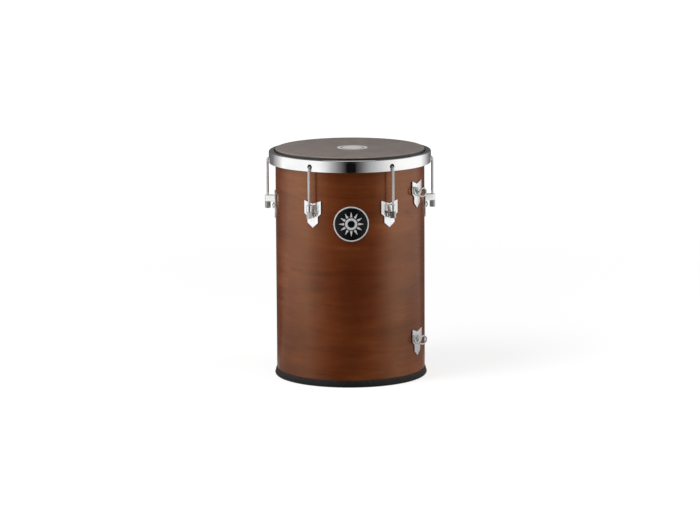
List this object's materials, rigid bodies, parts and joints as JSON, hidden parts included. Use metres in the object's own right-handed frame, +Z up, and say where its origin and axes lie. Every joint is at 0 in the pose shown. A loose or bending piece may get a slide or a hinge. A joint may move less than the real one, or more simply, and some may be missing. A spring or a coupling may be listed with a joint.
{
  "type": "rebolo drum",
  "caption": "Cylindrical wooden hand drum with a rod-tensioned head, chrome hoop and lugs, strap hooks and a rubber base ring.",
  "frame": {"origin": "middle of the underside of the base ring, on the drum's axis", "axes": "+Z up along the drum's axis, -Y to the front with the badge, +X to the right as seen from the front"},
  "size_m": [0.3436, 0.3264, 0.4627],
  "materials": {
    "varnished_wood": "dark red-brown satin varnish, grain running round the shell",
    "black_rubber": "matte black rubber",
    "head_film": "grey-brown leather-like film",
    "aluminium": "plain turned",
    "chrome": "bright chrome plating",
    "zinc_steel": "bright zinc-plated steel",
    "black_enamel": "gloss black"
  },
  "bodies": {
    "drum": {"shell": "varnished_wood", "bottom_ring": "black_rubber", "badge_plate": "chrome", "badge_inlay": "black_enamel", "lug_plate_1": "chrome", "lug_plate_2": "chrome", "lug_plate_3": "chrome", "lug_plate_4": "chrome", "lug_plate_5": "chrome", "lug_plate_6": "chrome", "lug_loop_1": "chrome", "lug_loop_2": "chrome", "lug_loop_3": "chrome", "lug_loop_4": "chrome", "lug_loop_5": "chrome", "lug_loop_6": "chrome", "lug_bolt_1": "chrome", "lug_bolt_2": "chrome", "lug_bolt_3": "chrome", "lug_bolt_4": "chrome", "lug_bolt_5": "chrome", "lug_bolt_6": "chrome", "bolt_nut_1": "zinc_steel", "bolt_nut_2": "zinc_steel", "bolt_nut_3": "zinc_steel", "bolt_nut_4": "zinc_steel", "bolt_nut_5": "zinc_steel", "bolt_nut_6": "zinc_steel", "stud_nut_1": "zinc_steel", "stud_nut_2": "zinc_steel", "stud_nut_3": "zinc_steel", "stud_nut_4": "zinc_steel", "stud_nut_5": "zinc_steel", "stud_nut_6": "zinc_steel", "strap_plate_upper": "chrome", "strap_plate_lower": "chrome", "strap_loop_upper": "chrome", "strap_loop_lower": "chrome", "strap_nut_upper_1": "zinc_steel", "strap_nut_upper_2": "zinc_steel", "strap_nut_lower_1": "zinc_steel", "strap_nut_lower_2": "zinc_steel"},
    "head_assembly": {"drumhead": "head_film", "flesh_hoop": "aluminium", "counter_hoop": "chrome", "tension_hook_1": "zinc_steel", "tension_hook_2": "zinc_steel", "tension_hook_3": "zinc_steel", "tension_hook_4": "zinc_steel", "tension_hook_5": "zinc_steel", "tension_hook_6": "zinc_steel"},
    "nut_1": {"tension_nut_1": "chrome"},
    "nut_2": {"tension_nut_2": "chrome"},
    "nut_3": {"tension_nut_3": "chrome"},
    "nut_4": {"tension_nut_4": "chrome"},
    "nut_5": {"tension_nut_5": "chrome"},
    "nut_6": {"tension_nut_6": "chrome"}
  },
  "joints": [
    {"name": "head_travel", "type": "slide", "parent": "drum", "child": "head_assembly", "axis": [0, 0, 1], "range_m": [0, 0.006]},
    {"name": "nut_1_turn", "type": "hinge", "parent": "drum", "child": "nut_1", "pos_m": [0.083, -0.14376, 0.3408], "axis": [0, 0, 1], "range_deg": [-2160.1, 0]},
    {"name": "nut_2_turn", "type": "hinge", "parent": "drum", "child": "nut_2", "pos_m": [0.166, 0, 0.3408], "axis": [0, 0, 1], "range_deg": [-2160.1, 0]},
    {"name": "nut_3_turn", "type": "hinge", "parent": "drum", "child": "nut_3", "pos_m": [0.083, 0.14376, 0.3408], "axis": [0, 0, 1], "range_deg": [-2160.1, 0]},
    {"name": "nut_4_turn", "type": "hinge", "parent": "drum", "child": "nut_4", "pos_m": [-0.083, 0.14376, 0.3408], "axis": [0, 0, 1], "range_deg": [-2160.1, 0]},
    {"name": "nut_5_turn", "type": "hinge", "parent": "drum", "child": "nut_5", "pos_m": [-0.166, 0, 0.3408], "axis": [0, 0, 1], "range_deg": [-2160.1, 0]},
    {"name": "nut_6_turn", "type": "hinge", "parent": "drum", "child": "nut_6", "pos_m": [-0.083, -0.14376, 0.3408], "axis": [0, 0, 1], "range_deg": [-2160.1, 0]}
  ],
  "couplings": [
    {"joint": "nut_1_turn", "follows": "head_travel", "rad_per_m": -6283.2},
    {"joint": "nut_2_turn", "follows": "head_travel", "rad_per_m": -6283.2},
    {"joint": "nut_3_turn", "follows": "head_travel", "rad_per_m": -6283.2},
    {"joint": "nut_4_turn", "follows": "head_travel", "rad_per_m": -6283.2},
    {"joint": "nut_5_turn", "follows": "head_travel", "rad_per_m": -6283.2},
    {"joint": "nut_6_turn", "follows": "head_travel", "rad_per_m": -6283.2}
  ]
}
